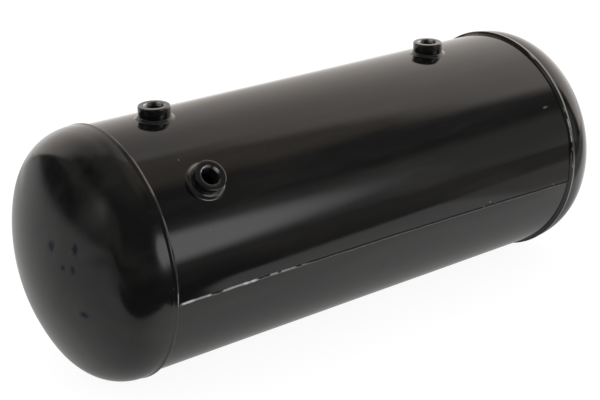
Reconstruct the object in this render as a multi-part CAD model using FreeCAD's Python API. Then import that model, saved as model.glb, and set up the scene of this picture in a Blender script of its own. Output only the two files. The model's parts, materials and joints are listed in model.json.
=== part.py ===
import FreeCAD, Part
import math
import os

# Welded steel compressed-air reservoir lying on its side, in millimetres.
# X runs along the tank and Z is up. The origin is on the lowest line of the shell, at
# mid-length, where the clamping bands that carry the tank pull it onto its bracket.

# Sheet and shell
SHEET = 2.5
SHELL_R = 138.0
SHELL_INNER_R = SHELL_R - SHEET
SHELL_LAP = 4.0

# Dished heads: their skirts lap over the ends of the shell
HEAD_R = SHELL_R + SHEET
SKIRT_EDGE_X = 291.8
SKIRT_LENGTH = 6.0
KNUCKLE_R = 52.0
CROWN_R = 226.0

# Height of the tank's axis above the shell's lowest line
AXIS_Z = SHELL_R

# Longitudinal butt seam: its place round the shell at mid-length, its slant, gap and bead
SEAM_FRONT_DEG = 96.0
SEAM_SLANT_DEG = 0.7
SEAM_GAP = 1.6
SEAM_CAP_WIDTH = 3.8
SEAM_CAP_HEIGHT = 1.0
SEAM_ROOT_WIDTH = 2.6
SEAM_ROOT_HEIGHT = 0.5

# Girth beads: from the shell up over the edge of each skirt, and proud of it
GIRTH_TOE_X = 285.8
GIRTH_CROWN_X = 292.0
GIRTH_CROWN_R = 141.6
GIRTH_LAP_X = 297.2

# Port bosses for M22 x 1.5 screwed fittings
BOSS_R = 17.6
BOSS_FACE_ABOVE_SHELL = 13.8
BOSS_BELOW_INNER_WALL = 2.0
BOSS_RIM_ROUND = 1.2
THREAD_MINOR_R = 10.188
MOUTH_R = 11.5
INNER_MOUTH_R = 11.2

# Fillet welds round the bosses: wider along the shell than they are high
BOSS_WELD_REACH = 5.4
BOSS_WELD_RISE = 3.0
BOSS_WELD_ROUND = 2.7

# Place of each port: distance along the tank, and angle from the top towards the front
PORTS = {
    "left_top": (-222.0, 0.0),
    "right_top": (172.2, 0.0),
    "front": (-225.0, 46.0),
}

AXIS_X = FreeCAD.Vector(1, 0, 0)
AXIS_START = FreeCAD.Vector(0, 0, AXIS_Z)


def rod(radius, x_start, x_end):
    """Solid round bar along the tank's axis."""
    start = FreeCAD.Vector(x_start, 0, AXIS_Z)
    return Part.makeCylinder(radius, x_end - x_start, start, AXIS_X)


def revolved_about_axis(edges):
    """Solid of revolution from edges drawn in the plane Y = 0, above the axis."""
    face = Part.Face(Part.Wire(edges))
    return face.revolve(AXIS_START, AXIS_X, 360)


def at_radius(x, radius):
    """Point above the tank's axis, at this distance from it."""
    return FreeCAD.Vector(x, 0, AXIS_Z + radius)


def shell_end_x():
    """How far the shell reaches from mid-length, inside the skirts."""
    return SKIRT_EDGE_X + SHELL_LAP


def placed_at_seam(shape):
    """Turn a shape made above the axis to the seam, whose right end is a little lower."""
    shape.rotate(AXIS_START, FreeCAD.Vector(0, 0, 1), -SEAM_SLANT_DEG)
    shape.rotate(AXIS_START, AXIS_X, SEAM_FRONT_DEG)
    return shape


def placed_at_port(shape, port):
    """Put a shape made above the axis at X = 0 in a port's place."""
    x, front_deg = PORTS[port]
    shape.rotate(AXIS_START, AXIS_X, front_deg)
    shape.translate(FreeCAD.Vector(x, 0, 0))
    return shape


def boss_bar(radius):
    """Upright bar on the Z axis, from inside the shell to well above it."""
    bottom = FreeCAD.Vector(0, 0, AXIS_Z)
    return Part.makeCylinder(radius, SHELL_R + BOSS_FACE_ABOVE_SHELL, bottom)


def seam_gap_slab():
    """Thin slab past both ends of the shell where the edges of the rolled sheet stand apart."""
    length = 2 * shell_end_x() + SHEET
    corner = FreeCAD.Vector(-length / 2, -SEAM_GAP / 2, AXIS_Z)
    slab = Part.makeBox(length, SEAM_GAP, 2 * SHELL_R, corner)
    return placed_at_seam(slab)


def shell():
    """Rolled sheet with its seam gap, and a hole for each boss."""
    end = shell_end_x()
    tube = rod(SHELL_R, -end, end).cut(rod(SHELL_INNER_R, -end, end))
    tube = tube.cut(seam_gap_slab())
    for port in PORTS:
        tube = tube.cut(placed_at_port(boss_bar(BOSS_R), port))
    return tube


def bead_rod(width, height, surface_r, outward):
    """Round bar along the seam that stands out of a surface by the bead's height."""
    radius = (width * width / 4 + height * height) / (2 * height)
    centre_r = surface_r + outward * (height - radius)
    start = FreeCAD.Vector(-GIRTH_TOE_X, 0, AXIS_Z + centre_r)
    return placed_at_seam(Part.makeCylinder(radius, 2 * GIRTH_TOE_X, start, AXIS_X))


def long_seam_weld():
    """Butt weld that fills the seam gap, with a cap outside and a root bead inside."""
    outer = rod(SHELL_R, -GIRTH_TOE_X, GIRTH_TOE_X)
    inner = rod(SHELL_INNER_R, -GIRTH_TOE_X, GIRTH_TOE_X)
    cap = bead_rod(SEAM_CAP_WIDTH, SEAM_CAP_HEIGHT, SHELL_R, 1).cut(outer)
    root = bead_rod(SEAM_ROOT_WIDTH, SEAM_ROOT_HEIGHT, SHELL_INNER_R, -1).common(inner)
    fill = outer.cut(inner).common(seam_gap_slab())
    return fill.fuse(cap).fuse(root).removeSplitter()


def head_outline(radius, knuckle_r, crown_r):
    """Edges of one face of a dished head from skirt edge to pole: line and two arcs."""
    knuckle_x = SKIRT_EDGE_X + SKIRT_LENGTH
    knuckle_centre = radius - knuckle_r
    meet = math.asin(knuckle_centre / (crown_r - knuckle_r))
    crown_x = knuckle_x - (crown_r - knuckle_r) * math.cos(meet)

    def on_knuckle(angle):
        x = knuckle_x + knuckle_r * math.cos(angle)
        return at_radius(x, knuckle_centre + knuckle_r * math.sin(angle))

    def on_crown(angle):
        x = crown_x + crown_r * math.cos(angle)
        return at_radius(x, crown_r * math.sin(angle))

    square = math.pi / 2
    skirt = Part.LineSegment(at_radius(SKIRT_EDGE_X, radius), on_knuckle(square))
    knuckle = Part.Arc(on_knuckle(square), on_knuckle((square + meet) / 2), on_knuckle(meet))
    crown = Part.Arc(on_crown(meet), on_crown(meet / 2), on_crown(0))
    return [skirt.toShape(), knuckle.toShape(), crown.toShape()]


def right_head():
    """Pressed head of even thickness, whose skirt fits over the shell."""
    outside = head_outline(HEAD_R, KNUCKLE_R, CROWN_R)
    inside = head_outline(HEAD_R - SHEET, KNUCKLE_R - SHEET, CROWN_R - SHEET)
    edge = Part.makeLine(inside[0].Vertexes[0].Point, outside[0].Vertexes[0].Point)
    pole = Part.makeLine(outside[2].Vertexes[1].Point, inside[2].Vertexes[1].Point)
    return revolved_about_axis([edge] + outside + [pole] + inside[::-1])


def right_girth_weld():
    """Bead that fills the step from the shell to the skirt and laps onto the skirt."""
    toe = at_radius(GIRTH_TOE_X, SHELL_R)
    root = at_radius(SKIRT_EDGE_X, SHELL_R)
    edge = at_radius(SKIRT_EDGE_X, HEAD_R)
    lap = at_radius(GIRTH_LAP_X, HEAD_R)
    surface = Part.Arc(lap, at_radius(GIRTH_CROWN_X, GIRTH_CROWN_R), toe).toShape()
    flanks = [Part.makeLine(toe, root), Part.makeLine(root, edge), Part.makeLine(edge, lap)]
    return revolved_about_axis(flanks + [surface])


def mirrored_to_left(shape):
    """Copy of a right-hand piece at the left end of the tank."""
    return shape.mirror(FreeCAD.Vector(0, 0, 0), AXIS_X)


def port_boss(port):
    """Turned boss through the shell wall, with a bored hole at the thread's minor radius."""
    face_r = SHELL_R + BOSS_FACE_ABOVE_SHELL
    foot_r = SHELL_INNER_R - BOSS_BELOW_INNER_WALL
    foot = at_radius(0, foot_r)
    body = Part.makeCylinder(BOSS_R, face_r - foot_r, foot)
    rim = [edge for edge in body.Edges if edge.BoundBox.ZMin > AXIS_Z + SHELL_R]
    body = body.makeFillet(BOSS_RIM_ROUND, rim)
    body = body.cut(Part.makeCylinder(THREAD_MINOR_R, face_r - foot_r, foot))
    mouth_depth = MOUTH_R - THREAD_MINOR_R
    body = body.cut(
        Part.makeCone(THREAD_MINOR_R, MOUTH_R, mouth_depth, at_radius(0, face_r - mouth_depth))
    )
    inner_depth = INNER_MOUTH_R - THREAD_MINOR_R
    body = body.cut(Part.makeCone(INNER_MOUTH_R, THREAD_MINOR_R, inner_depth, foot))
    return placed_at_port(body, port)


def boss_weld(port):
    """Convex fillet weld that follows the curve of the shell round a boss."""
    reach = BOSS_R + BOSS_WELD_REACH
    bead = boss_bar(reach).common(rod(SHELL_R + BOSS_WELD_RISE, -reach, reach))
    top = [edge for edge in bead.Edges if edge.BoundBox.ZMin > AXIS_Z + SHELL_R]
    bead = bead.makeFillet(BOSS_WELD_ROUND, top)
    bead = bead.cut(rod(SHELL_R, -reach, reach)).cut(boss_bar(BOSS_R))
    return placed_at_port(bead, port)


def nodes():
    """Every piece of the tank by name."""
    pieces = {
        "shell": shell(),
        "long_seam_weld": long_seam_weld(),
        "right_head": right_head(),
        "right_girth_weld": right_girth_weld(),
    }
    pieces["left_head"] = mirrored_to_left(pieces["right_head"])
    pieces["left_girth_weld"] = mirrored_to_left(pieces["right_girth_weld"])
    for port in PORTS:
        pieces[port + "_port_boss"] = port_boss(port)
        pieces[port + "_boss_weld"] = boss_weld(port)
    return pieces


os.makedirs("parts", exist_ok=True)
for name, piece in nodes().items():
    assert piece.isValid() and len(piece.Solids) == 1, name
    solid = piece.Solids[0]
    solid.exportStep("parts/" + name + ".step")
    centre = [round(value, 2) for value in solid.CenterOfMass]
    print(name, "volume", round(solid.Volume), "mm3, centre", centre)
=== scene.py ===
import json
import math

import bpy
import numpy as np
from mathutils import Matrix, Vector


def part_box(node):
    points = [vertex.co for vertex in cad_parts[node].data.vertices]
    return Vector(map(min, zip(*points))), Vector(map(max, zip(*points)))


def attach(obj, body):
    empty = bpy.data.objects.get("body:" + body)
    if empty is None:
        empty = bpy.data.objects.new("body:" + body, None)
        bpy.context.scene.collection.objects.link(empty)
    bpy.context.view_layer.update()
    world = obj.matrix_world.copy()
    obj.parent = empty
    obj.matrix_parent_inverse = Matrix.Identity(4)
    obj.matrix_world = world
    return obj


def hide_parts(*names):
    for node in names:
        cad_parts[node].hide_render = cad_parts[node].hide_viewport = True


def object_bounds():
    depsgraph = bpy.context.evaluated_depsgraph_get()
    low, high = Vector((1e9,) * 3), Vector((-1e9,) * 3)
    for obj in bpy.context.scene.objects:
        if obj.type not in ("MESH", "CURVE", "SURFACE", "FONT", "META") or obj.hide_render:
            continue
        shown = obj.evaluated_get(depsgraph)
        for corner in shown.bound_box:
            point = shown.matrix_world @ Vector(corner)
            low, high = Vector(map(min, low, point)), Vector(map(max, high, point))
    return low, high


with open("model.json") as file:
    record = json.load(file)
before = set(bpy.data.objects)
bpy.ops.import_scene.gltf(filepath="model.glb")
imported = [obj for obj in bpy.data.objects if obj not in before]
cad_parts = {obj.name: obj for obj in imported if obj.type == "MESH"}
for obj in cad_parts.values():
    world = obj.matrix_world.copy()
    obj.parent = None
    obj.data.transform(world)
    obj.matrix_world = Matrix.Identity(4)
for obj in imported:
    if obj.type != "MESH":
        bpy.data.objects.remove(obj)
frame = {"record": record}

# The looks of a glossy black compressed-air reservoir in a plain studio. It lies along X, with
# its front towards -Y. Lengths are in metres and angles in degrees unless a name says otherwise.
# Sizes come from the boxes and mounts of the CAD pieces.

CAD_LOW, CAD_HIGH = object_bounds()
SHELL_LOW, SHELL_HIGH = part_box("shell")
HEAD_LOW, HEAD_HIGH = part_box("right_head")
GIRTH_LOW, GIRTH_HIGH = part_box("right_girth_weld")
SEAM_LOW, SEAM_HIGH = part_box("long_seam_weld")
BOSS_LOW, BOSS_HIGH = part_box("left_top_port_boss")
FILLET_LOW, FILLET_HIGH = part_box("left_top_boss_weld")

MM = 0.001
AXIS_Z = (GIRTH_LOW[2] + GIRTH_HIGH[2]) / 2
SHELL_R = (SHELL_HIGH[2] - SHELL_LOW[2]) / 2
SHELL_END_X = SHELL_HIGH[0]
HEAD_R = (HEAD_HIGH[2] - HEAD_LOW[2]) / 2
SHEET = HEAD_R - SHELL_R
SKIRT_EDGE_X = HEAD_LOW[0]
POLE_X = HEAD_HIGH[0]
GIRTH_TOE_X = GIRTH_LOW[0]
GIRTH_LAP_X = GIRTH_HIGH[0]
GIRTH_R = (GIRTH_HIGH[2] - GIRTH_LOW[2]) / 2
BOSS_R = (BOSS_HIGH[0] - BOSS_LOW[0]) / 2
BOSS_FACE_R = BOSS_HIGH[2] - AXIS_Z
BOSS_FOOT_R = BOSS_LOW[2] - AXIS_Z
FILLET_R = (FILLET_HIGH[0] - FILLET_LOW[0]) / 2
FILLET_RISE = FILLET_HIGH[2] - AXIS_Z - SHELL_R
FLOOR_Z = CAD_LOW[2]

# Edges sharper than this stay crisp
CRISP_ANGLE = 50
BEAD_CRISP_ANGLE = 60

# Seeds of the random waves
SEEDS = {
    "shell": 3, "left_head": 5, "right_head": 6, "left_girth_weld": 7, "right_girth_weld": 8,
    "seam_width": 11, "seam_centre": 12, "seam_height": 13, "seam_wear": 14, "first_fillet": 20,
}


# -------- small helpers


def smoothstep(low, high, value):
    """0 at low and 1 at high, smooth between. Low may be above high."""
    t = np.clip((value - low) / (high - low), 0.0, 1.0)
    return t * t * (3 - 2 * t)


def slab(value, low, high, soft):
    """1 between low and high, fading over the soft distance round both."""
    return smoothstep(low - soft, low + soft, value) * smoothstep(high + soft, high - soft, value)


def bell(value, centre, width):
    """Bump of height 1 at the centre that falls to about a third at the width."""
    return np.exp(-((value - centre) / width) ** 2)


def eased(t):
    """0 at 0, 1 at 1 and 0 again at 2, along a cosine."""
    return 0.5 - 0.5 * np.cos(math.pi * t)


def waves(seed, x, y, kind):
    """Smooth random waves over x and y, about 1 high and as deep. Same seed, same waves.

    The kind is how many waves are added up, then the shortest and the longest of them."""
    count, shortest, longest = kind
    rng = np.random.default_rng(seed)
    total = np.zeros(np.broadcast(x, y).shape)
    for _ in range(count):
        length = shortest * (longest / shortest) ** rng.random()
        heading = rng.random() * 2 * math.pi
        phase = rng.random() * 2 * math.pi
        along = x * math.cos(heading) + y * math.sin(heading)
        total += np.sin(2 * math.pi * along / length + phase)
    return total / math.sqrt(count / 2) / 2


def mesh_object(name, points, faces, crisp_angle):
    """Smooth-shaded mesh object whose edges sharper than the angle stay crisp."""
    mesh = bpy.data.meshes.new(name)
    mesh.from_pydata([tuple(p) for p in points], [], faces)
    mesh.validate()
    mesh.update()
    mesh.shade_smooth()
    mesh.set_sharp_from_angle(angle=math.radians(crisp_angle))
    piece = bpy.data.objects.new(name, mesh)
    bpy.context.scene.collection.objects.link(piece)
    return piece


def ring_faces(rows, columns, close_rows):
    """Quads of a grid whose columns run round, and whose rows may close into a loop too."""
    faces = []
    for i in range(rows if close_rows else rows - 1):
        below = i * columns
        above = ((i + 1) % rows) * columns
        for j in range(columns):
            k = (j + 1) % columns
            faces.append((below + j, below + k, above + k, above + j))
    return faces


def flipped(faces):
    """The same faces, looking the other way."""
    return [face[::-1] for face in faces]


def counted_from(start, faces):
    """The same faces, on points that come later in a piece's list."""
    return [tuple(start + i for i in face) for face in faces]


def point_round_axis(x, radius, angle):
    """Points at this distance from the axis, at these angles from the top towards the front."""
    a = np.radians(angle)
    return np.stack(np.broadcast_arrays(x, -radius * np.sin(a), AXIS_Z + radius * np.cos(a)), -1)


def set_wear(piece, wear):
    """Store how far the paint is worn at each point, for the paint to read."""
    layer = piece.data.attributes.new("wear", "FLOAT", "POINT")
    layer.data.foreach_set("value", np.asarray(wear, dtype=np.float32).ravel())


def add_piece(piece, material, slot, *nodes):
    """Give a piece its material and its body, and hide the CAD nodes it stands for. The slot is not
    used.
    """
    piece.data.materials.clear()
    piece.data.materials.append(material)
    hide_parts(*nodes)
    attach(piece, "root")


# -------- materials

BLACK = (0.0030, 0.0030, 0.0032, 1)
PALE_DUST = (0.10, 0.095, 0.085, 1)
PRIMER = (0.12, 0.075, 0.062, 1)
HAZE = (0.0085, 0.0078, 0.0068, 1)
BLUE_FILM = (0.021, 0.0235, 0.032, 1)
BARE_STEEL = (0.90, 0.90, 0.91, 1)

PAINT_IOR = 1.5
COAT_IOR = 1.7
WORN_ROUGHNESS_RISE = 0.22

# Marks that a cloth left: changes in a metre of X, Y and Z, and noise that dulls and hazes
WIPE_CHANGES = (5.0, 30.0, 30.0)
DULL_RANGE = (0.4, 0.75)
DULL_RISE = 1.8
HAZE_RANGE = (0.47, 0.70)

# Dust: spacing of specks, their radius as a part of that, and the share that is there
DUST = [(14 * MM, 0.035, 0.3), (5 * MM, 0.04, 0.3)]
SPECK_MIDDLE = 0.6
SPECK_CHOICE_EDGE = 0.02

# Ragged spots: changes of outline in a metre, how far it strays, and the part of the radius
# that is covered fully
SPOT_CHANGES = 450.0
SPOT_STRAY = (0.6, 1.4)
SPOT_MIDDLE = 0.45
MID_NOISE = (0.3, 0.7)

# Numbers of a colour mix node's sockets
MIX_AMOUNT, MIX_BELOW, MIX_ABOVE, MIX_RESULT = 0, 6, 7, 2


def fill(tree, made, inputs):
    """Fill a shader node's inputs, by name or number: link sockets to them and set the rest."""
    for key, value in inputs.items():
        if isinstance(value, bpy.types.NodeSocket):
            tree.links.new(value, made.inputs[key])
        else:
            made.inputs[key].default_value = value


def node(tree, kind, inputs, **settings):
    """Add a shader node with its inputs and its settings."""
    made = tree.nodes.new(kind)
    for key, value in settings.items():
        setattr(made, key, value)
    fill(tree, made, inputs)
    return made


def new_material(name):
    """A material, its tree of nodes and its shader."""
    material = bpy.data.materials.new(name)
    material.use_nodes = True
    tree = material.node_tree
    return material, tree, tree.nodes["Principled BSDF"]


def ranged(tree, source, given, wanted):
    """Socket that carries a source's value from a given range into the wanted one."""
    ends = {"From Min": given[0], "From Max": given[1], "To Min": wanted[0], "To Max": wanted[1]}
    return node(tree, "ShaderNodeMapRange", {"Value": source, **ends}).outputs["Result"]


def combined(tree, operation, first, second):
    """Socket that carries the result of arithmetic on two values."""
    return node(tree, "ShaderNodeMath", {0: first, 1: second}, operation=operation).outputs[0]


def mixed_colour(tree, amount, below, colour):
    """Socket that lays a plain colour over another by this amount."""
    inputs = {MIX_AMOUNT: amount, MIX_BELOW: below, MIX_ABOVE: colour}
    return node(tree, "ShaderNodeMix", inputs, data_type="RGBA").outputs[MIX_RESULT]


def specks(tree, place, spacing, size, share):
    """Mask of round specks in a share of the cells of this spacing."""
    cells = node(tree, "ShaderNodeTexVoronoi", {"Vector": place, "Scale": 1 / spacing})
    dots = ranged(tree, cells.outputs["Distance"], (size, size * SPECK_MIDDLE), (0, 1))
    choice = (1 - share, 1 - share + SPECK_CHOICE_EDGE)
    chosen = ranged(tree, cells.outputs["Color"], choice, (0, 1))
    return combined(tree, "MULTIPLY", dots, chosen)


def spot(tree, place, centre, stretch, size):
    """Ragged mask round a point; stretch scales the distances along X, Y and Z."""
    kind = "ShaderNodeVectorMath"
    away = node(tree, kind, {0: place, 1: centre}, operation="SUBTRACT").outputs[0]
    away = node(tree, kind, {0: away, 1: stretch}, operation="MULTIPLY").outputs[0]
    distance = node(tree, kind, {0: away}, operation="LENGTH").outputs["Value"]
    ragged = {"Vector": place, "Scale": SPOT_CHANGES, "Detail": 3.0}
    ragged = node(tree, "ShaderNodeTexNoise", ragged).outputs["Fac"]
    strayed = combined(tree, "MULTIPLY", distance, ranged(tree, ragged, MID_NOISE, SPOT_STRAY))
    return ranged(tree, strayed, (size, size * SPOT_MIDDLE), (0, 1))


def orange_peel(tree, place, height, size):
    """Normal of paint whose surface has soft bumps of this height and size."""
    peel = {"Vector": place, "Scale": 1 / size, "Detail": 2.0, "Roughness": 0.45}
    peel = node(tree, "ShaderNodeTexNoise", peel).outputs["Fac"]
    bump = node(tree, "ShaderNodeBump", {"Strength": 1.0, "Distance": height, "Height": peel})
    return bump.outputs["Normal"]


def wiping_marks(tree, place):
    """Noise drawn out along the tank, as a cloth leaves the paint."""
    drawn_out = node(tree, "ShaderNodeMapping", {"Vector": place, "Scale": WIPE_CHANGES}).outputs[0]
    wiped = {"Vector": drawn_out, "Scale": 1.0, "Detail": 5.0, "Roughness": 0.65}
    return node(tree, "ShaderNodeTexNoise", wiped).outputs["Fac"]


def paint_material(name, roughness, peel, gloss, coat=0.0, chips=(), smears=()):
    """Thick black gloss paint: orange peel, wiped haze, dust, chips, smears and worn metal."""
    material, tree, shader = new_material(name)
    place = node(tree, "ShaderNodeTexCoord", {}).outputs["Object"]
    wiped = wiping_marks(tree, place)
    dull = ranged(tree, wiped, DULL_RANGE, (roughness, roughness * DULL_RISE))
    colour = mixed_colour(tree, ranged(tree, wiped, HAZE_RANGE, (0, 1)), BLACK, HAZE)
    for spacing, size, share in DUST:
        colour = mixed_colour(tree, specks(tree, place, spacing, size, share), colour, PALE_DUST)
    for centre, stretch, size in chips:
        colour = mixed_colour(tree, spot(tree, place, centre, stretch, size), colour, PRIMER)
    wear = node(tree, "ShaderNodeAttribute", {}, attribute_name="wear").outputs["Fac"]
    colour = mixed_colour(tree, wear, colour, BARE_STEEL)
    metal = wear
    for centre, stretch, size in smears:
        smeared = spot(tree, place, centre, stretch, size)
        colour = mixed_colour(tree, smeared, colour, BLUE_FILM)
        metal = combined(tree, "MAXIMUM", metal, smeared)
    rough = {0: wear, 1: WORN_ROUGHNESS_RISE, 2: dull}
    rough = node(tree, "ShaderNodeMath", rough, operation="MULTIPLY_ADD").outputs[0]
    fill(tree, shader, {
        "Base Color": colour, "Metallic": metal, "Roughness": rough,
        "Normal": orange_peel(tree, place, *peel), "IOR": PAINT_IOR, "Specular IOR Level": gloss,
        "Coat Weight": coat, "Coat Roughness": roughness, "Coat IOR": COAT_IOR,
    })
    return material


def on_tank(x, y, z):
    """Point given in millimetres from the middle of the tank's axis."""
    return (x * MM, y * MM, AXIS_Z + z * MM)


# Chips in the paint and bluish smears on it: their middle, stretch and radius
SHELL_CHIPS = [
    (on_tank(264.5, -114, 77.5), (0.35, 1, 1), 1.7 * MM),
    (on_tank(-241.7, -75.1, 115.8), (1, 1, 1), 1.1 * MM),
]
HEAD_SMEARS = [
    (on_tank(-369.0, -27.5, 38.5), (1, 0.7, 0.6), 4.6 * MM),
    (on_tank(-360.6, -62.7, 43.8), (1, 0.9, 0.6), 5.0 * MM),
    (on_tank(-365.8, -47.0, 20.0), (1, 0.8, 0.8), 4.4 * MM),
    (on_tank(-365.8, -62.0, 22.5), (1, 0.9, 0.6), 4.2 * MM),
    (on_tank(-360.7, -72.1, -26.0), (1, 0.5, 0.9), 4.6 * MM),
]

# Height and size of the paint's soft bumps
SHEET_PEEL = (0.010 * MM, 3.5 * MM)
SMALL_PEEL = (0.012 * MM, 2.0 * MM)
WELD_PEEL = (0.015 * MM, 1.5 * MM)

SHEET_PAINT = paint_material("sheet_paint", 0.08, SHEET_PEEL, gloss=0.5, chips=SHELL_CHIPS)
HEAD_PAINT = paint_material("head_paint", 0.11, SHEET_PEEL, gloss=0.5, smears=HEAD_SMEARS)
BOSS_PAINT = paint_material("boss_paint", 0.06, SMALL_PEEL, gloss=0.7, coat=0.15)
# Duller paint that paints shade: deep in the front boss's bore and along the seam bead's upper flank
DULL_SHADE_PAINT = paint_material("dull_shade_paint", 0.40, SMALL_PEEL, gloss=0.3)
WELD_PAINT = paint_material("weld_paint", 0.07, WELD_PEEL, gloss=0.6)
SEAM_PAINT = paint_material("seam_paint", 0.06, SMALL_PEEL, gloss=1.0, coat=0.6)
FRONT_WELD_PAINT = paint_material("front_weld_paint", 0.06, SMALL_PEEL, gloss=1.0, coat=0.35)


# -------- ports and their fillet welds

# Head, rim and mouth of a turned boss
BOSS_COLUMNS = 96
RIM_ROUND = 1.4 * MM
RIM_STEPS = 6
FOOT_CHAMFER = 1 * MM
MOUTH_R = 11.5 * MM
INNER_MOUTH_R = MOUTH_R - 1 * MM

# Round of the mouth's edge: its size, and its points outward and down in parts of that
MOUTH_EDGE = 0.3 * MM
MOUTH_EDGE_POINTS = [(1.0, 0.0), (0.3, 0.12), (-0.3, 0.5)]
MOUTH_EDGE_ROWS = 2

# Internal thread: the flats at its crest and root are parts of a pitch
THREAD_MAJOR_R = 11 * MM
THREAD_PITCH = 1.5 * MM
THREAD_CREST_FLAT = 0.25
THREAD_ROOT_FLAT = 0.125
THREAD_ROWS_PER_TURN = 10

# Bright marks in a mouth: turns of thread that they reach down, then place and width of each as
# parts of the way round, and its brightness
BRIGHT_TURNS = 3
MOUTH_WEAR = [(0.34, 0.09, 0.60), (0.07, 0.04, 0.55)]


def port_places():
    """Name, distance along the tank, angle and minor radius of each threaded port."""
    places = []
    for mount in frame["record"]["mounts"]:
        if mount["kind"] == "threaded_hole":
            out = Vector(mount["axis"])
            angle = math.degrees(math.atan2(-out.y, out.z))
            name = mount["name"].removesuffix("_port")
            places.append((name, mount["pos_m"][0], angle, mount["dims"]["r_mm"] * MM))
    return places


def set_at_port(points, x, angle):
    """Move points made round the Z axis, with the tank's axis at Z = 0, to a port's place."""
    turn = Matrix.Rotation(math.radians(angle), 4, "X")
    move = Matrix.Translation((x, 0, AXIS_Z)) @ turn
    return [move @ Vector(p) for p in points]


def thread_radius(height, turn, minor_r):
    """Radius of the internal thread at a height, for each fraction of a turn."""
    phase = (height / THREAD_PITCH - turn) % 1.0
    ridge = np.abs(phase - 0.5) * 2
    flank = 1 - THREAD_CREST_FLAT - THREAD_ROOT_FLAT
    depth = np.clip((ridge - THREAD_CREST_FLAT) / flank, 0, 1)
    return minor_r + (THREAD_MAJOR_R - minor_r) * depth


def boss_outside():
    """Rows (radius, height) of a boss from its foot, up over the rim, to the mouth's edge."""
    rows = [(BOSS_R - FOOT_CHAMFER, BOSS_FOOT_R), (BOSS_R, BOSS_FOOT_R + FOOT_CHAMFER)]
    for step in range(RIM_STEPS + 1):
        a = math.radians(90 * step / RIM_STEPS)
        rim_r = BOSS_R - RIM_ROUND * (1 - math.cos(a))
        rows.append((rim_r, BOSS_FACE_R - RIM_ROUND * (1 - math.sin(a))))
    for outward, down in MOUTH_EDGE_POINTS:
        rows.append((MOUTH_R + MOUTH_EDGE * outward, BOSS_FACE_R - MOUTH_EDGE * down))
    return rows


def boss_bore(turn, minor_r):
    """Rows of a boss's bore, threaded between its two chamfers."""
    span = BOSS_FACE_R - BOSS_FOOT_R
    steps = round(span / THREAD_PITCH * THREAD_ROWS_PER_TURN)
    rows = []
    for step in range(MOUTH_EDGE_ROWS, steps):
        height = BOSS_FACE_R - span * step / steps
        mouth = MOUTH_R - (BOSS_FACE_R - height)
        foot = INNER_MOUTH_R - (height - BOSS_FOOT_R)
        wall = thread_radius(height, turn, minor_r)
        rows.append((np.maximum(wall, max(mouth, foot)), height))
    rows.append((INNER_MOUTH_R, BOSS_FOOT_R))
    return rows


def port_boss(name, x, angle, minor_r):
    """Turned boss with a rounded rim, a chamfered mouth and a real internal thread."""
    turn = np.arange(BOSS_COLUMNS) / BOSS_COLUMNS
    around = 2 * math.pi * turn
    rows = boss_outside()
    mouth_row = len(rows)
    dark_row = mouth_row + BRIGHT_TURNS * THREAD_ROWS_PER_TURN
    rows += boss_bore(turn, minor_r)
    points = []
    for radius, height in rows:
        ring = np.broadcast_to(radius, turn.shape)
        points += list(zip(ring * np.cos(around), ring * np.sin(around), [height] * len(turn)))
    faces = ring_faces(len(rows), BOSS_COLUMNS, True)
    piece = mesh_object(name + "_boss", set_at_port(points, x, angle), faces, CRISP_ANGLE)
    wear = np.zeros((len(rows), BOSS_COLUMNS))
    wear[mouth_row:dark_row] = sum(amount * bell(turn, at, wide) for at, wide, amount in MOUTH_WEAR)
    set_wear(piece, wear)
    add_piece(piece, BOSS_PAINT, "black_paint", name + "_port_boss")
    # Deep in the front boss's bore the paint is duller, as painted shade
    if name == "front":
        paint_shade_from(piece, dark_row * BOSS_COLUMNS)


def paint_shade_from(piece, first_point):
    """Give a boss's faces from this point on, deep in its bore, duller paint as painted shade inside
    the bore.
    """
    piece.data.materials.append(DULL_SHADE_PAINT)
    for face in piece.data.polygons:
        face.material_index = int(min(face.vertices) >= first_point)


# Fillet weld round a boss: how far it stays inside the CAD weld, how much it changes on the way
# round, and the waves in which it does, whose lengths are in radii of the weld
FILLET_STEPS = 14
FILLET_REACH_INSET = 0.7 * MM
FILLET_REACH_CHANGE = 0.10
FILLET_RISE_INSET = 0.3 * MM
FILLET_RISE_CHANGE = 0.08
FILLET_WAVES = (6, 0.6, 2.0)
FILLET_BULGE = 1.1
FILLET_SUNK = 0.5 * MM

# Weld ripples: length, height and columns of points of each, how many ripples its middle runs
# behind its edges, and the part of its height that lies below the bead's surface
RIPPLE_LENGTH = 2.4 * MM
RIPPLE_HEIGHT = 0.07 * MM
RIPPLE_COLUMNS = 6
RIPPLE_BOW = 0.8
RIPPLE_SUNK = 0.6


def ripples(along, across, length, height):
    """Scalloped weld ripples: shallow humps with creases between, bowed across the bead."""
    phase = along / length + RIPPLE_BOW * (2 * across - 1) ** 2
    return height * (np.abs(np.sin(math.pi * phase)) - RIPPLE_SUNK) * np.sin(math.pi * across)


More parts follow.
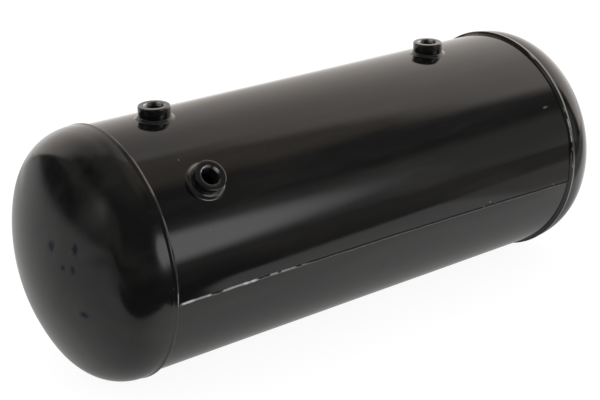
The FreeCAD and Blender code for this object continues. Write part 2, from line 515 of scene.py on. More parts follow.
def boss_weld(name, x, angle, seed):
    """Fillet weld round a boss: a rounded crown that runs out smoothly onto the shell."""
    count = round(2 * math.pi * FILLET_R / RIPPLE_LENGTH)
    columns = RIPPLE_COLUMNS * count
    turn = np.arange(columns) / columns
    around = 2 * math.pi * turn
    uneven = waves(seed, np.cos(around), np.sin(around), FILLET_WAVES)
    across = np.linspace(0, 1, FILLET_STEPS)[:, None]
    reach = (FILLET_R - BOSS_R - FILLET_REACH_INSET) * (1 + FILLET_REACH_CHANGE * uneven)
    rise = (FILLET_RISE - FILLET_RISE_INSET) * (1 + FILLET_RISE_CHANGE * uneven)
    radius = BOSS_R + reach * (1 - across)
    above = rise * eased(across ** FILLET_BULGE)
    above = above + ripples(turn * count, across, 1.0, RIPPLE_HEIGHT)

    def shell_height(r):
        return np.sqrt(SHELL_R**2 - (r * np.sin(around)) ** 2)

    inside_boss = np.full(columns, BOSS_R - FILLET_SUNK)
    surface = [(radius[i], shell_height(radius[i]) + above[i]) for i in range(FILLET_STEPS)]
    surface.append((inside_boss, shell_height(BOSS_R) + rise))
    surface.append((inside_boss, shell_height(BOSS_R) - FILLET_SUNK))
    surface.append((radius[0], shell_height(radius[0]) - FILLET_SUNK))
    points = []
    for ring, height in surface:
        points += list(zip(ring * np.cos(around), ring * np.sin(around), height))
    faces = ring_faces(len(surface), columns, True)
    piece = mesh_object(name + "_fillet", set_at_port(points, x, angle), faces, BEAD_CRISP_ANGLE)
    paint = FRONT_WELD_PAINT if name == "front" else WELD_PAINT
    add_piece(piece, paint, "weld_paint", name + "_boss_weld")


# -------- shell

SHELL_COLUMNS = 360
SHELL_ROWS = 150
SHELL_INNER_ROWS = 4

# Faint waves in the rolled sheet, which differ a little between its upper and lower half
SHELL_WAVE_HEIGHT = 0.05 * MM
SHELL_WAVES = (24, 0.07, 0.3)
SHELL_WAVE_SKEW = 0.4 * SHELL_R

# The sheet rises to a ridge at the seam. The width is the angle at which a third of it is left.
SEAM_PEAK_HEIGHT = 0.55 * MM
SEAM_PEAK_WIDTH = 8.0

# The seam's angle from the top: how far it is raised from the CAD seam, how much lower its right
# end is than its middle, how much lower a slight bow brings both ends, and the part of the bow by
# which the whole seam is raised to make up for that
SEAM_RAISED = 0.3
SEAM_MIDDLE = math.degrees(math.atan2(
    -(SEAM_LOW[1] + SEAM_HIGH[1]) / 2, (SEAM_LOW[2] + SEAM_HIGH[2]) / 2 - AXIS_Z
)) - SEAM_RAISED
SEAM_SLANT = 1.4
SEAM_BOW = 0.9
SEAM_BOW_REST = 0.4


def seam_angle(x):
    """Angle of the seam from the top: a little lower at the right end, and slightly bowed."""
    t = x / GIRTH_TOE_X
    return SEAM_MIDDLE + SEAM_SLANT * t + SEAM_BOW * (t * t - SEAM_BOW_REST)


def shell_radius(x, angle):
    """Outer radius of the rolled sheet, with its peak at the seam and faint waves."""
    around = np.radians(angle)
    peak = SEAM_PEAK_HEIGHT * np.exp(-np.abs(angle - seam_angle(x)) / SEAM_PEAK_WIDTH)
    along = x + SHELL_WAVE_SKEW * np.cos(around)
    dents = waves(SEEDS["shell"], along, SHELL_R * np.sin(around), SHELL_WAVES)
    return SHELL_R + peak + SHELL_WAVE_HEIGHT * dents


def shell():
    """Rolled sheet with a hole for each boss."""
    angle = np.linspace(-180, 180, SHELL_COLUMNS, endpoint=False)
    points = []
    for x in np.linspace(-SHELL_END_X, SHELL_END_X, SHELL_ROWS):
        points += list(point_round_axis(x, shell_radius(x, angle), angle))
    for x in np.linspace(SHELL_END_X, -SHELL_END_X, SHELL_INNER_ROWS):
        points += list(point_round_axis(x, SHELL_R - SHEET, angle))
    faces = flipped(ring_faces(SHELL_ROWS + SHELL_INNER_ROWS, SHELL_COLUMNS, True))
    piece = mesh_object("shell_sheet", points, faces, CRISP_ANGLE)
    for _, port_x, port_angle, _ in port_places():
        cut_hole(piece, port_x, port_angle)
    piece.data.set_sharp_from_angle(angle=math.radians(CRISP_ANGLE))
    add_piece(piece, SHEET_PAINT, "black_paint", "shell")


def cut_hole(piece, x, angle):
    """Cut a boss's round hole through the sheet."""
    turn = np.arange(BOSS_COLUMNS) / BOSS_COLUMNS * 2 * math.pi
    low, high = BOSS_FOOT_R, BOSS_FACE_R
    points = [(BOSS_R * math.cos(a), BOSS_R * math.sin(a), z) for z in (low, high) for a in turn]
    faces = ring_faces(2, BOSS_COLUMNS, False)
    faces.append(tuple(range(BOSS_COLUMNS))[::-1])
    faces.append(tuple(range(BOSS_COLUMNS, 2 * BOSS_COLUMNS)))
    cutter = mesh_object("cutter", set_at_port(points, x, angle), faces, CRISP_ANGLE)
    cut = piece.modifiers.new("hole", "BOOLEAN")
    cut.operation = "DIFFERENCE"
    cut.solver = "EXACT"
    cut.object = cutter
    deps = bpy.context.evaluated_depsgraph_get()
    made = bpy.data.meshes.new_from_object(piece.evaluated_get(deps))
    piece.modifiers.clear()
    old = piece.data
    piece.data = made
    bpy.data.meshes.remove(old)
    bpy.data.objects.remove(cutter)


# -------- heads

# Pressed dish: round knuckle after a straight skirt, and steps over the knuckle and the crown
KNUCKLE_R = 52 * MM
SKIRT_LENGTH = 6 * MM
HEAD_COLUMNS = 300
HEAD_STEPS = (40, 70)
HEAD_INNER_STEPS = (12, 14)

# Faint waves from the press, let into the head and gone at its pole
HEAD_WAVE_HEIGHT = 0.10 * MM
HEAD_WAVES = (24, 0.05, 0.2)
HEAD_WAVE_INSET = 1.5
HEAD_POLE_FADE = 5 * MM


def dish_profile(radius, knuckle_r, pole_x, knuckle_steps, crown_steps):
    """Points (x, radius, slope angle) of a head's dish, from its tangent line to near the pole."""
    knuckle_x = SKIRT_EDGE_X + SKIRT_LENGTH
    centre = radius - knuckle_r
    depth = pole_x - knuckle_x
    crown_r = (depth**2 - knuckle_r**2 + centre**2) / (2 * (depth - knuckle_r))
    meet = math.asin(centre / (crown_r - knuckle_r))
    points = []
    for a in np.linspace(math.pi / 2, meet, knuckle_steps, endpoint=False):
        points.append((knuckle_x + knuckle_r * math.cos(a), centre + knuckle_r * math.sin(a), a))
    for a in np.linspace(meet, 0, crown_steps, endpoint=False):
        points.append((pole_x - crown_r * (1 - math.cos(a)), crown_r * math.sin(a), a))
    return points


def head_outside(side, name, angle):
    """Points of a head's outside, from its skirt's edge to near the pole, with waves."""
    around = np.radians(angle)
    points = list(point_round_axis(side * SKIRT_EDGE_X, HEAD_R, angle))
    for x, radius, a in dish_profile(HEAD_R, KNUCKLE_R, POLE_X, *HEAD_STEPS):
        wave = waves(SEEDS[name], radius * np.cos(around), radius * np.sin(around), HEAD_WAVES)
        fade = min(1.0, (POLE_X - x) / HEAD_POLE_FADE)
        wave = HEAD_WAVE_HEIGHT * (wave - HEAD_WAVE_INSET) * fade * math.cos(a)
        swelled_x = side * (x + wave * math.cos(a))
        points += list(point_round_axis(swelled_x, radius + wave * math.sin(a), angle))
    return points


def head_inside(side, angle):
    """Points of a head's inside, from its skirt's edge to near the pole."""
    points = list(point_round_axis(side * SKIRT_EDGE_X, HEAD_R - SHEET, angle))
    sizes = (HEAD_R - SHEET, KNUCKLE_R - SHEET, POLE_X - SHEET)
    for x, radius, _ in dish_profile(*sizes, *HEAD_INNER_STEPS):
        points += list(point_round_axis(side * x, radius, angle))
    return points


def domed_faces(points):
    """Faces over a head's rows of points, closed by triangles to a pole that follows them."""
    rows = len(points) // HEAD_COLUMNS
    faces = ring_faces(rows, HEAD_COLUMNS, False)
    last_row = (rows - 1) * HEAD_COLUMNS
    for j in range(HEAD_COLUMNS):
        faces.append((last_row + j, last_row + (j + 1) % HEAD_COLUMNS, len(points)))
    return faces


def head(side, name, material):
    """Pressed head with faint waves from the press, open towards the shell."""
    angle = np.linspace(-180, 180, HEAD_COLUMNS, endpoint=False)
    points = head_outside(side, name, angle)
    faces = domed_faces(points)
    points.append((side * POLE_X, 0, AXIS_Z))
    start = len(points)
    inside = head_inside(side, angle)
    faces += counted_from(start, flipped(domed_faces(inside)))
    points += inside
    points.append((side * (POLE_X - SHEET), 0, AXIS_Z))
    for j in range(HEAD_COLUMNS):
        k = (j + 1) % HEAD_COLUMNS
        faces.append((j, start + j, start + k, k))
    if side > 0:
        faces = flipped(faces)
    piece = mesh_object(name + "_dish", points, faces, CRISP_ANGLE)
    add_piece(piece, material, "black_paint", name)


# -------- girth welds

# Undersides of the girth and seam beads, below the shell's surface
BEAD_SUNK = 0.3 * MM

# Crown of the girth bead, and how far its edges are inside the CAD bead
GIRTH_CROWN_X = GIRTH_TOE_X + 0.46 * (GIRTH_LAP_X - GIRTH_TOE_X)
GIRTH_CROWN_R = GIRTH_R - 0.12 * MM
GIRTH_TOE_INSET = {"left_girth_weld": 0.5 * MM, "right_girth_weld": 2.1 * MM}
GIRTH_LAP_INSET = 0.3 * MM
GIRTH_TOE_SUNK = 0.05 * MM
GIRTH_LAP_SUNK = 0.03 * MM

# Rows of points on each flank, and how hollow it is near its edge, where 1 is an even S-curve
GIRTH_TOE_ROWS = 16
GIRTH_LAP_ROWS = 12
GIRTH_TOE_HOLLOW = 1.5
GIRTH_LAP_HOLLOW = 1.7

# How far its toe, crown and lap wander, in which waves, and steps to the seeds of the others
GIRTH_TOE_WANDER = 0.35 * MM
GIRTH_CROWN_WANDER = 0.3 * MM
GIRTH_LAP_WANDER = 0.2 * MM
GIRTH_EDGE_WAVES = (12, 0.02, 0.12)
GIRTH_CROWN_WAVES = (8, 0.04, 0.2)
LAP_SEED_STEP = 50
CROWN_SEED_STEP = 60
WEAR_SEED_STEP = 70

GIRTH_RIPPLE = 2.8 * MM
GIRTH_RIPPLE_HEIGHT = 0.05 * MM
GIRTH_RIPPLE_CHANGE = 0.6

# Worn lengths, from angle to angle and how much; their soft ends and patches; and the middle and
# width of the worn line as parts of the way across
GIRTH_WORN = {
    "left_girth_weld": [(88, 94, 0.5)],
    "right_girth_weld": [(25, 29, 0.4), (58, 80, 0.6), (88, 91, 0.6)],
}
GIRTH_WORN_SOFT = 2
GIRTH_WORN_PATCHES = (16, 0.006, 0.05)
GIRTH_WORN_RANGE = (-0.9, 0.7)
GIRTH_WORN_LINE = (0.44, 0.06)


def girth_weld(side, name):
    """Bead from the shell up over a skirt's edge, with a crown proud of it."""
    seed = SEEDS[name]
    count = round(2 * math.pi * SHELL_R / GIRTH_RIPPLE)
    columns = RIPPLE_COLUMNS * count
    angle = np.linspace(-180, 180, columns, endpoint=False)
    around = np.radians(angle)
    place = (SHELL_R * np.cos(around), SHELL_R * np.sin(around))
    wander = waves(seed, *place, GIRTH_EDGE_WAVES)
    lap_wander = waves(seed + LAP_SEED_STEP, *place, GIRTH_EDGE_WAVES)
    crown_wander = waves(seed + CROWN_SEED_STEP, *place, GIRTH_CROWN_WAVES)
    toe_x = GIRTH_TOE_X + GIRTH_TOE_INSET[name] + GIRTH_TOE_WANDER * wander
    lap_x = GIRTH_LAP_X - GIRTH_LAP_INSET - GIRTH_LAP_WANDER * lap_wander
    crown_x = GIRTH_CROWN_X + GIRTH_CROWN_WANDER * crown_wander
    toe_r = SHELL_R - GIRTH_TOE_SUNK
    lap_r = HEAD_R - GIRTH_LAP_SUNK

    rise = np.linspace(0, 1, GIRTH_TOE_ROWS)[:, None]
    fall = np.linspace(0, 1, GIRTH_LAP_ROWS + 1)[1:, None]
    rise_r = toe_r + (GIRTH_CROWN_R - toe_r) * eased(rise) ** GIRTH_TOE_HOLLOW
    fall_r = lap_r + (GIRTH_CROWN_R - lap_r) * eased(1 - fall) ** GIRTH_LAP_HOLLOW
    x = np.concatenate([toe_x + (crown_x - toe_x) * rise, crown_x + (lap_x - crown_x) * fall])
    across = np.concatenate([rise / 2, 0.5 + fall / 2])
    wave = ripples(angle / 360 * count, across, 1.0, GIRTH_RIPPLE_HEIGHT)
    wave = wave * (1 + GIRTH_RIPPLE_CHANGE * wander)
    radius = np.minimum(np.concatenate([rise_r, fall_r]) + wave, GIRTH_R)

    underside = np.full(columns, SHELL_R - BEAD_SUNK)
    surface = [(x[i], radius[i]) for i in range(len(x))] + [(x[-1], underside), (toe_x, underside)]
    points = []
    for ring_x, ring_r in surface:
        points += list(point_round_axis(side * ring_x, ring_r, angle))
    faces = ring_faces(len(surface), columns, True)
    if side > 0:
        faces = flipped(faces)
    piece = mesh_object(name + "_bead", points, faces, BEAD_CRISP_ANGLE)
    worn = worn_round_girth(name, angle, place) * bell(across, *GIRTH_WORN_LINE)
    set_wear(piece, np.concatenate([worn, np.zeros((2, columns))]))
    add_piece(piece, WELD_PAINT, "weld_paint", name)


def worn_round_girth(name, angle, place):
    """How far a girth bead is worn bright at each angle."""
    patches = waves(SEEDS[name] + WEAR_SEED_STEP, *place, GIRTH_WORN_PATCHES)
    worn = sum(amount * slab(angle, low, high, GIRTH_WORN_SOFT)
               for low, high, amount in GIRTH_WORN[name])
    return worn * smoothstep(*GIRTH_WORN_RANGE, patches)


# -------- lengthwise seam weld

SEAM_RIPPLE = 1.9 * MM
SEAM_WIDTH = 3.8 * MM
SEAM_HEIGHT = 1.0 * MM
SEAM_OVERRUN = 2.3 * MM

# Steps across the bead, lean of its crest, roundness of its section, and steps with duller paint as
# painted shade
SEAM_STEPS = 19
SEAM_LEAN = 1.5
SEAM_ROUNDNESS = 0.8
SEAM_SHADED_STEPS = 9

# How its width, height and line change along it
SEAM_WIDTH_CHANGE = 0.1
SEAM_WIDTH_WAVES = (12, 0.01, 0.06)
SEAM_HEIGHT_CHANGE = 0.12
SEAM_HEIGHT_WAVES = (12, 0.01, 0.05)
SEAM_WANDER = 0.25 * MM
SEAM_WANDER_WAVES = (12, 0.02, 0.12)

# A crater in the bead, where the welder stopped
CRATER_X = -243 * MM
CRATER_LENGTH = 3.5 * MM
CRATER_DEPTH = 0.7

# Worn lengths along the tank: from, to, soft ends and how much. Scuffed ones are worn in patches
# only. The worn line on the bead is wider where it is more worn.
SEAM_WORN = [(-0.232, -0.192, 0.006, 1.0), (-0.285, -0.250, 0.004, 0.8)]
SEAM_SCUFFED = [(-0.188, -0.13, 0.012, 0.32)]
SEAM_PATCHES = (16, 0.004, 0.03)
SEAM_PATCH_RANGE = (-0.3, 0.3)
SEAM_WORN_BETWEEN = 0.45
SEAM_WORN_MIDDLE = 0.36
SEAM_WORN_WIDTH = 0.14
SEAM_WORN_WIDENING = 0.16

# Droplets of spatter: distance along the tank, distance below the seam and radius, in millimetres
SPATTER = [(141.4, -0.8, 1.0), (151.7, -4.6, 0.9), (160.0, -2.0, 0.6), (262.0, -2.6, 0.8),
           (-184.0, -2.4, 0.6), (21.0, 2.2, 0.5), (225.0, -3.2, 0.5)]
SPATTER_ROWS = 7
SPATTER_COLUMNS = 12
SPATTER_LIFT = 0.1
SPATTER_WEAR = 0.25


def along_seam(name, x, kind):
    """Random waves along the seam."""
    return waves(SEEDS[name], x, np.zeros_like(x), kind)


def worn_along_seam(x):
    """How far the bead's crest is worn bright at each place along the seam."""
    patches = smoothstep(*SEAM_PATCH_RANGE, along_seam("seam_wear", x, SEAM_PATCHES))

    def lengths(rows):
        return sum(amount * slab(x, low, high, soft) for low, high, soft, amount in rows)

    worn = lengths(SEAM_WORN) + lengths(SEAM_SCUFFED) * patches
    return np.clip(worn * (SEAM_WORN_BETWEEN + (1 - SEAM_WORN_BETWEEN) * patches), 0, 1)


def long_seam_weld():
    """Narrow rippled bead along the shell, worn to bright metal near its left end, with painted shade
    on its upper flank.
    """
    end = GIRTH_TOE_X + SEAM_OVERRUN
    rows = RIPPLE_COLUMNS * round(2 * end / SEAM_RIPPLE)
    x = np.linspace(-end, end, rows)
    wide = along_seam("seam_width", x, SEAM_WIDTH_WAVES)
    high = along_seam("seam_height", x, SEAM_HEIGHT_WAVES)
    half_width = SEAM_WIDTH / 2 * (1 - SEAM_WIDTH_CHANGE + SEAM_WIDTH_CHANGE * wide)
    centre = SEAM_WANDER * along_seam("seam_centre", x, SEAM_WANDER_WAVES)
    height = SEAM_HEIGHT * (1 - SEAM_HEIGHT_CHANGE + SEAM_HEIGHT_CHANGE * high)
    height = height * (1 - CRATER_DEPTH * bell(x, CRATER_X, CRATER_LENGTH))
    across = np.linspace(0, 1, SEAM_STEPS)
    section = eased(2 * across ** SEAM_LEAN) ** SEAM_ROUNDNESS
    worn = worn_along_seam(x)
    points = []
    wear = []
    for i in range(rows):
        side = (2 * across - 1) * half_width[i] + centre[i]
        lift = height[i] * section + ripples(x[i], across, SEAM_RIPPLE, RIPPLE_HEIGHT)
        angle = seam_angle(x[i]) + np.degrees(side / SHELL_R)
        points += list(point_round_axis(x[i], shell_radius(x[i], angle) + lift, angle))
        points += list(point_round_axis(x[i], SHELL_R - BEAD_SUNK, angle[[-1, 0]]))
        worn_width = SEAM_WORN_WIDTH + SEAM_WORN_WIDENING * worn[i]
        wear += list(worn[i] * bell(across, SEAM_WORN_MIDDLE, worn_width)) + [0, 0]
    columns = SEAM_STEPS + 2
    faces = flipped(ring_faces(rows, columns, False))
    faces.append(tuple(range(columns))[::-1])
    faces.append(tuple(range((rows - 1) * columns, rows * columns)))
    for spatter_x, below, radius in SPATTER:
        add_spatter(points, faces, spatter_x * MM, below * MM, radius * MM)
    wear += [SPATTER_WEAR] * (len(points) - len(wear))
    piece = mesh_object("long_seam_bead", points, faces, BEAD_CRISP_ANGLE)
    set_wear(piece, wear)
    add_piece(piece, SEAM_PAINT, "weld_paint", "long_seam_weld")
    # Duller paint on the bead's upper flank, as a painted shaded line along it
    piece.data.materials.append(DULL_SHADE_PAINT)
    for face in piece.data.polygons:
        on_bead = max(face.vertices) < rows * columns
        on_upper_flank = min(face.vertices) % columns < SEAM_SHADED_STEPS
        face.material_index = int(on_bead and on_upper_flank)


def add_spatter(points, faces, x, below, radius):
    """Add one droplet of weld spatter, half sunk in the shell, this far below the seam."""
    start = len(points)
    angle = seam_angle(x) + math.degrees(below / SHELL_R)
    middle = Vector(point_round_axis(x, SHELL_R + SPATTER_LIFT * radius, angle))
    for i in range(SPATTER_ROWS):
        polar = math.pi * (i + 0.5) / SPATTER_ROWS
        ring_r = radius * math.sin(polar)
        for j in range(SPATTER_COLUMNS):
            turn = 2 * math.pi * j / SPATTER_COLUMNS
            out = Vector((ring_r * math.cos(turn), ring_r * math.sin(turn), radius * math.cos(polar)))
            points.append(tuple(middle + out))
    faces += counted_from(start, flipped(ring_faces(SPATTER_ROWS, SPATTER_COLUMNS, False)))
    first_cap = range(start, start + SPATTER_COLUMNS)
    last_cap = range(len(points) - SPATTER_COLUMNS, len(points))
    faces += [tuple(first_cap), tuple(last_cap)[::-1]]


# -------- studio: camera, floor, lights

# The camera's distance, and the point it aims at, along and above the axis, in shell radii
CAMERA_BEARING = -37.867
CAMERA_HEIGHT = 21.662
CAMERA_ROLL = -0.344
CAMERA_DISTANCE = 12.107
CAMERA_AIM = (-0.1405, 0.0142)
CAMERA_LENS_MM = 84.6
CAMERA_SENSOR_MM = 36.0
CAMERA_SHIFT = (-0.008, -0.0137)

FLOOR_HALF = 30.0
FLOOR_COLOUR = (0.12, 0.12, 0.12, 1)
FLOOR_GLOW = 0.93

OVERHEAD_SIZE = (3.0, 2.0)
OVERHEAD_POWER = 20.0
OVERHEAD_PLACE = (0.4, 1.0, 3.0)
OVERHEAD_TILT = -18

WHITE = (1.0, 1.0, 1.0)


def camera():
    """Camera at the tank's left front, looking down a little."""
    data = bpy.data.cameras.new("camera")
    data.sensor_width = CAMERA_SENSOR_MM
    data.lens = CAMERA_LENS_MM
    data.shift_x, data.shift_y = CAMERA_SHIFT
    data.clip_end = 100.0
    eye = bpy.data.objects.new("camera", data)
    bearing = math.radians(CAMERA_BEARING)
    height = math.radians(CAMERA_HEIGHT)
    back = Vector((math.sin(bearing) * math.cos(height),
                   -math.cos(bearing) * math.cos(height), math.sin(height)))
    aim = Vector((CAMERA_AIM[0] * SHELL_R, 0, AXIS_Z + CAMERA_AIM[1] * SHELL_R))
    eye.location = aim + back * CAMERA_DISTANCE * SHELL_R
    turn = (-back).to_track_quat("-Z", "Y")
    roll = Matrix.Rotation(math.radians(CAMERA_ROLL), 4, "Z")
    eye.rotation_euler = (turn.to_matrix().to_4x4() @ roll).to_euler()
    bpy.context.scene.collection.objects.link(eye)
    bpy.context.scene.camera = eye


def stage_object(name, points, faces):
    """Part of the studio, which isn't part of the tank."""
    mesh = bpy.data.meshes.new(name)
    mesh.from_pydata([tuple(p) for p in points], [], faces)
    mesh.update()
    card = bpy.data.objects.new(name, mesh)
    bpy.context.scene.collection.objects.link(card)
    return card


def floor():
    """Pale floor that glows a little, so that the tank's shadow stays faint."""
    low, high = -FLOOR_HALF, FLOOR_HALF
    corners = [(low, low), (high, low), (high, high), (low, high)]
    plane = stage_object("floor", [(x, y, FLOOR_Z) for x, y in corners], [(0, 1, 2, 3)])
    material, tree, shader = new_material("floor_paper")
    fill(tree, shader, {
        "Base Color": FLOOR_COLOUR, "Roughness": 0.9, "Specular IOR Level": 0.0,
        "Emission Color": WHITE + (1,), "Emission Strength": FLOOR_GLOW,
    })
    plane.data.materials.append(material)
    plane.visible_glossy = False


def lights():
    """Even white surround light and one large soft light overhead."""
    world = bpy.data.worlds.new("studio")
    bpy.context.scene.world = world
    world.use_nodes = True
    background = world.node_tree.nodes["Background"]
    fill(world.node_tree, background, {"Color": WHITE + (1,), "Strength": 1.0})
    data = bpy.data.lights.new("overhead", "AREA")
    data.shape = "RECTANGLE"
    data.size, data.size_y = OVERHEAD_SIZE
    data.energy = OVERHEAD_POWER
    lamp = bpy.data.objects.new("overhead", data)
    lamp.location = OVERHEAD_PLACE
    lamp.rotation_euler = (math.radians(OVERHEAD_TILT), 0, 0)
    lamp.visible_glossy = False
    bpy.context.scene.collection.objects.link(lamp)


# -------- studio: what the paint reflects

# The paint mirrors a globe with soft-edged areas of light, and a table below. Bearing 0 is
# straight ahead of the front, positive to the right, and height is above the horizon.
GREENISH = (1.0, 1.0, 0.88)
WARM = (1.08, 1.0, 0.94)
BROWN = (1.14, 1.0, 0.83)
OLIVE = (1.0, 1.0, 0.5)
COLD = (1.0, 1.0, 1.03)

# Room in front: its walls, and the heights where it fades to a paler ceiling and a darker floor
ROOM_LEVEL = 0.09
ROOM_FADES = [((42, 74), 0.22, GREENISH), ((-1, -9), 0.05, WHITE)]

# Areas of the room, behind the side light and then before it: shape, place by bearing, place by
# height, brightness and tint. A slab's place is its low end, high end and soft edge, and a bell's
# is its middle and width.
FAR_AREAS = [
    (slab, (28, 112, 16), (60, 78, 6), 0.38, BROWN),
    (slab, (56, 106, 8), (46, 66, 5), 0.40, BROWN),
    (slab, (-114, -66, 8), (4, 36, 8), 0.24, GREENISH),
]
NEAR_AREAS = [
    (slab, (-150, -119, 7), (14, 36, 5), 0.20, GREENISH),
    (slab, (-153, -121, 4), (5.0, 15.5, 2.5), 0.04, WHITE),
    (bell, (-119, 15), (47, 11), 0.05, WHITE),
    (slab, (36, 56, 4), (-2, 24, 5), 0.37, GREENISH),
    (bell, (47, 4), (0, 7), 0.50, WHITE),
    (slab, (39, 62, 4), (29, 46, 5), 0.16, WHITE),
    (bell, (40, 2.2), (-6.5, 3.0), 0.5, OLIVE),
]

# Side light at the left, which leans as it rises
SIDE_LIGHT_BEARINGS = (-95, 8)
SIDE_LIGHT_HEIGHTS = (23, 14)
SIDE_LIGHT_LEAN = 0.6
SIDE_LIGHT_COVER = 0.8
SIDE_LIGHT_LEVEL = 0.86

# Softbox at the front right: middle and half size by bearing and height, then edge and glow
SOFTBOX_MIDDLE = (22.5, 12.5)
SOFTBOX_HALF = (14, 12.3)
SOFTBOX_EDGE = (1.28, 0.75)
SOFTBOX_LEVEL = 2.1
SOFTBOX_GLOW_EDGE = (2.0, 1.0)
SOFTBOX_GLOW_COVER = 0.85
SOFTBOX_GLOW_LEVEL = 0.40

# Backdrop from the right end round behind the tank: left edge by height, end, top with a rise
# and a drop, lower edge by bearing, and brightness by bearing and by height
BACKDROP_LEFT = [(-90, 112.25), (15, 65), (43, 65), (90, 140.2)]
BACKDROP_LEFT_EDGE = 5
BACKDROP_END_FADE = (224, 206)
BACKDROP_TOP = 58
BACKDROP_TOP_CHANGES = [(98, 125, 11), (188, 206, -8)]
BACKDROP_TOP_EDGE = (4, -3)
BACKDROP_LOW = [(0, -25), (163, -25), (360, 172)]
BACKDROP_LOW_EDGE = 3
BACKDROP_BY_BEARING = [(66, 1.7), (90, 1.85), (110, 1.7), (130, 1.25), (147, 0.85), (165, 1.35),
                       (185, 1.1), (205, 0.86), (220, 0.6)]
BACKDROP_BY_HEIGHT = [(5, 1), (25, 0.95), (35, 0.85), (45, 0.67), (55, 0.53), (68, 0.42)]

# White sweep that the table runs up into behind the left end: its top, by bearing, slopes down
SWEEP_BEARINGS = (188, 262, 5)
SWEEP_TOP = [(0, 5.5), (230, 5.5), (360, -11.4)]
SWEEP_TOP_EDGE = 5
SWEEP_LEVEL = 0.54

SURROUND_R = 20.0
SURROUND_STEP = 1.0


def along(points, value):
    """Height of a line through these points at this value, level beyond its ends."""
    return np.interp(value, *zip(*points))


def overlay(light, mask, brightness, tint=WHITE):
    """Lay a lit thing over what is behind it."""
    cover = mask[..., None]
    return light * (1 - cover) + cover * np.multiply.outer(np.asarray(brightness), np.array(tint))


def overlaid(light, areas, bearing, height):
    """Lay a list of areas over what is behind them, one after another."""
    for shape, across, up, brightness, tint in areas:
        light = overlay(light, shape(bearing, *across) * shape(height, *up), brightness, tint)
    return light


def side_light(light, bearing, height):
    """Lay the leaning side light over the light."""
    upright = bearing - SIDE_LIGHT_LEAN * (height - SIDE_LIGHT_HEIGHTS[0])
    cover = bell(upright, *SIDE_LIGHT_BEARINGS) * bell(height, *SIDE_LIGHT_HEIGHTS)
    return overlay(light, SIDE_LIGHT_COVER * cover, SIDE_LIGHT_LEVEL)


def softbox(light, bearing, height):
    """Lay the softbox, with its wide faint glow, over the light."""
    out = np.hypot((bearing - SOFTBOX_MIDDLE[0]) / SOFTBOX_HALF[0],
                   (height - SOFTBOX_MIDDLE[1]) / SOFTBOX_HALF[1])
    glow = smoothstep(*SOFTBOX_GLOW_EDGE, out) * SOFTBOX_GLOW_COVER
    light = overlay(light, glow, SOFTBOX_GLOW_LEVEL)
    return overlay(light, smoothstep(*SOFTBOX_EDGE, out), SOFTBOX_LEVEL, COLD)


def backdrop(light, behind, height):
    """Lay the bright backdrop over the light."""
    left = along(BACKDROP_LEFT, height)
    top = sum((change * smoothstep(start, end, behind)
               for start, end, change in BACKDROP_TOP_CHANGES), BACKDROP_TOP)
    low = along(BACKDROP_LOW, behind)
    cover = smoothstep(left - BACKDROP_LEFT_EDGE, left + BACKDROP_LEFT_EDGE, behind)
    cover = cover * smoothstep(*BACKDROP_END_FADE, behind)
    cover = cover * smoothstep(top + BACKDROP_TOP_EDGE[0], top + BACKDROP_TOP_EDGE[1], height)
    cover = cover * smoothstep(low - BACKDROP_LOW_EDGE, low + BACKDROP_LOW_EDGE, height)
    level = along(BACKDROP_BY_BEARING, behind) * along(BACKDROP_BY_HEIGHT, height)
    return overlay(light, cover, level, WARM)


def studio_light(bearing, height):
    """Brightness of the studio in a direction."""
    bearing = (bearing + 180) % 360 - 180
    behind = bearing % 360
    light = np.full(bearing.shape + (3,), ROOM_LEVEL)
    for fade, brightness, tint in ROOM_FADES:
        light = overlay(light, smoothstep(*fade, height), brightness, tint)
    light = overlaid(light, FAR_AREAS, bearing, height)
    light = side_light(light, bearing, height)
    light = overlaid(light, NEAR_AREAS, bearing, height)
    light = softbox(light, bearing, height)
    light = backdrop(light, behind, height)
    sweep_top = along(SWEEP_TOP, behind)
    sweep = slab(behind, *SWEEP_BEARINGS) * smoothstep(sweep_top, sweep_top - SWEEP_TOP_EDGE, height)
    return overlay(light, sweep, SWEEP_LEVEL)


def glowing_card(card, colours):
    """Show a card only in reflections, with a brightness at each point."""
    layer = card.data.color_attributes.new("glow", "FLOAT_COLOR", "POINT")
    rgba = np.concatenate([colours, np.ones((len(colours), 1))], 1)
    layer.data.foreach_set("color", rgba.ravel())
    material, tree, shader = new_material(card.name + "_glow")
    tree.nodes.remove(shader)
    glow = node(tree, "ShaderNodeAttribute", {}, attribute_name="glow").outputs["Color"]
    emission = node(tree, "ShaderNodeEmission", {"Color": glow, "Strength": 1.0}).outputs[0]
    fill(tree, tree.nodes["Material Output"], {"Surface": emission})
    card.data.materials.append(material)
    card.visible_camera = False
    card.visible_diffuse = False
    card.visible_transmission = False
    card.visible_shadow = False


def surround():
    """Big globe round the tank that the paint reflects as the studio."""
    bearings = np.arange(-180, 180, SURROUND_STEP)
    heights = np.arange(-90, 90 + SURROUND_STEP, SURROUND_STEP)
    b, h = np.meshgrid(np.radians(bearings), np.radians(heights))
    x = SURROUND_R * np.cos(h) * np.sin(b)
    y = -SURROUND_R * np.cos(h) * np.cos(b)
    z = AXIS_Z + SURROUND_R * np.sin(h)
    points = np.stack([x, y, z], -1).reshape(-1, 3)
    card = stage_object("surround", points, ring_faces(len(heights), len(bearings), False))
    glowing_card(card, studio_light(np.degrees(b), np.degrees(h)).reshape(-1, 3))


# Front edge of the table: its Y at each X, and how soft it is, softer towards the left
TABLE_EDGE = [(-1.10, -0.10), (-0.65, -0.13), (-0.45, -0.23), (-0.35, -0.31), (-0.24, -0.38),
              (-0.20, -0.35), (-0.16, -0.29), (-0.13, -0.30), (-0.09, -0.38), (-0.03, -0.43),
              (0.08, -0.445), (0.31, -0.485), (0.60, -0.55), (6.0, -2.0)]
TABLE_EDGE_SOFT = 0.012
TABLE_EDGE_SOFTER = 0.05
TABLE_EDGE_SOFTER_FADE = (-0.5, -1.0)
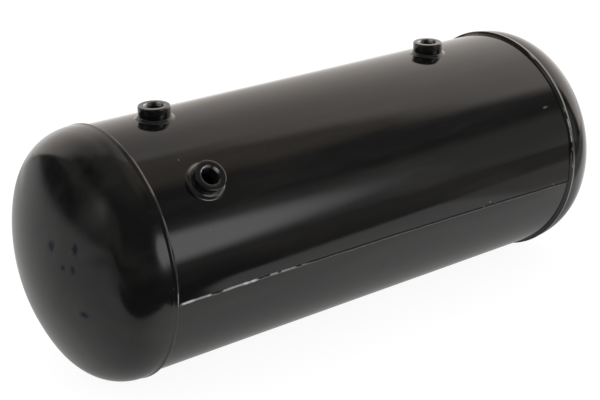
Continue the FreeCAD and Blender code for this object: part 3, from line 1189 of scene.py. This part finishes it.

# The table is darker under the tank, where the tank's shadow is painted, and paler in front of it
TABLE_SHADE = 0.42
TABLE_FRONT_RISE = 0.36
TABLE_FRONT_FADE = (0.07, 0.22)
TABLE_TINT = (1.0, 1.0, 0.985)

# Patches of the table: level, and the X and the Y between which each fades in
EVERYWHERE = (-1000.0, -999.0)
TABLE_PATCHES = [
    (0.56, (-0.28, -0.42), EVERYWHERE),
    (0.33, (-1.0, -1.7), (0.5, 0.2)),
    (1.35, (0.36, 0.62), (-0.32, -0.22)),
    (0.6, (0.5, 0.3), (0.1, 0.35)),
]
FAR_RIGHT = [((-0.6, 0.0), (0.9, 1.1)), ((0.55, 0.8), (0.35, 0.6))]
FAR_RIGHT_LEVEL = 1.1

# Cloth on the table at the right, and the floor past the edge with its paler ends
CLOTH_X = (0.40, 2.0, 0.03)
CLOTH_Y_FADE = (-0.25, -0.32)
CLOTH_LEVEL = 0.46
CLOTH_TINT = (1.10, 1.0, 0.98)
DARK_LEVEL = 0.05
DARK_PATCHES = [
    (0.23, (1.04, 1.0, 0.93), (-0.2, 0.7), EVERYWHERE),
    (0.21, WHITE, (-0.7, -0.95), (-0.36, -0.2)),
]

# Grid lines of the table card, from, to and how many: close together near the tank
TABLE_X_LINES = [(-6, -1.2, 20), (-1.15, 1.5, 220), (1.6, 6, 20)]
TABLE_Y_LINES = [(-6, -1.3, 20), (-1.25, 0.5, 180), (0.6, 6, 20)]
TABLE_DROP = 1 * MM


def faded_in(x, y, x_fade, y_fade):
    """Mask that fades in along X and along Y."""
    return smoothstep(*x_fade, x) * smoothstep(*y_fade, y)


def table_top(x, y):
    """Brightness of the white table, with the tank's painted shadow and the cloth on it."""
    # Painted shadow of the tank: dark under it, paler towards the front
    shade = TABLE_SHADE + TABLE_FRONT_RISE * smoothstep(*TABLE_FRONT_FADE, -y)
    for brightness, x_fade, y_fade in TABLE_PATCHES:
        shade = shade + (brightness - shade) * faded_in(x, y, x_fade, y_fade)
    far_right = np.maximum(*[faded_in(x, y, *fades) for fades in FAR_RIGHT])
    shade = shade + (FAR_RIGHT_LEVEL - shade) * far_right
    cloth = slab(x, *CLOTH_X) * smoothstep(*CLOTH_Y_FADE, y)
    table_colour = np.multiply.outer(shade, np.array(TABLE_TINT))
    return overlay(table_colour, cloth, CLOTH_LEVEL, CLOTH_TINT)


def dark_floor(x, y):
    """Brightness of the dark floor past the table's front edge."""
    dark = np.full(x.shape + (3,), DARK_LEVEL)
    for brightness, tint, x_fade, y_fade in DARK_PATCHES:
        dark = overlay(dark, faded_in(x, y, x_fade, y_fade), brightness, tint)
    return dark


def table_light(x, y):
    """Brightness of the table, and of the floor past its edge."""
    soft = TABLE_EDGE_SOFT + TABLE_EDGE_SOFTER * smoothstep(*TABLE_EDGE_SOFTER_FADE, x)
    beyond = smoothstep(soft, -soft, y - along(TABLE_EDGE, x))[..., None]
    return table_top(x, y) * (1 - beyond) + dark_floor(x, y) * beyond


def table():
    """The table and the floor past its edge, as the paint reflects them."""
    xs = np.concatenate([np.linspace(*lines) for lines in TABLE_X_LINES])
    ys = np.concatenate([np.linspace(*lines) for lines in TABLE_Y_LINES])
    gx, gy = np.meshgrid(xs, ys)
    points = np.stack([gx, gy, np.full(gx.shape, FLOOR_Z - TABLE_DROP)], -1).reshape(-1, 3)
    columns = len(xs)
    corners = [i * columns + j for i in range(len(ys) - 1) for j in range(columns - 1)]
    faces = [(k, k + 1, k + columns + 1, k + columns) for k in corners]
    card = stage_object("table_card", points, faces)
    glowing_card(card, table_light(gx, gy).reshape(-1, 3))


# -------- the studio, then the tank

camera()
floor()
surround()
table()
lights()
bpy.context.scene.view_settings.view_transform = "Standard"

shell()
head(-1, "left_head", HEAD_PAINT)
head(1, "right_head", SHEET_PAINT)
girth_weld(-1, "left_girth_weld")
girth_weld(1, "right_girth_weld")
long_seam_weld()
for index, (port, port_x, port_angle, port_minor_r) in enumerate(port_places()):
    port_boss(port, port_x, port_angle, port_minor_r)
    boss_weld(port, port_x, port_angle, SEEDS["first_fillet"] + index)
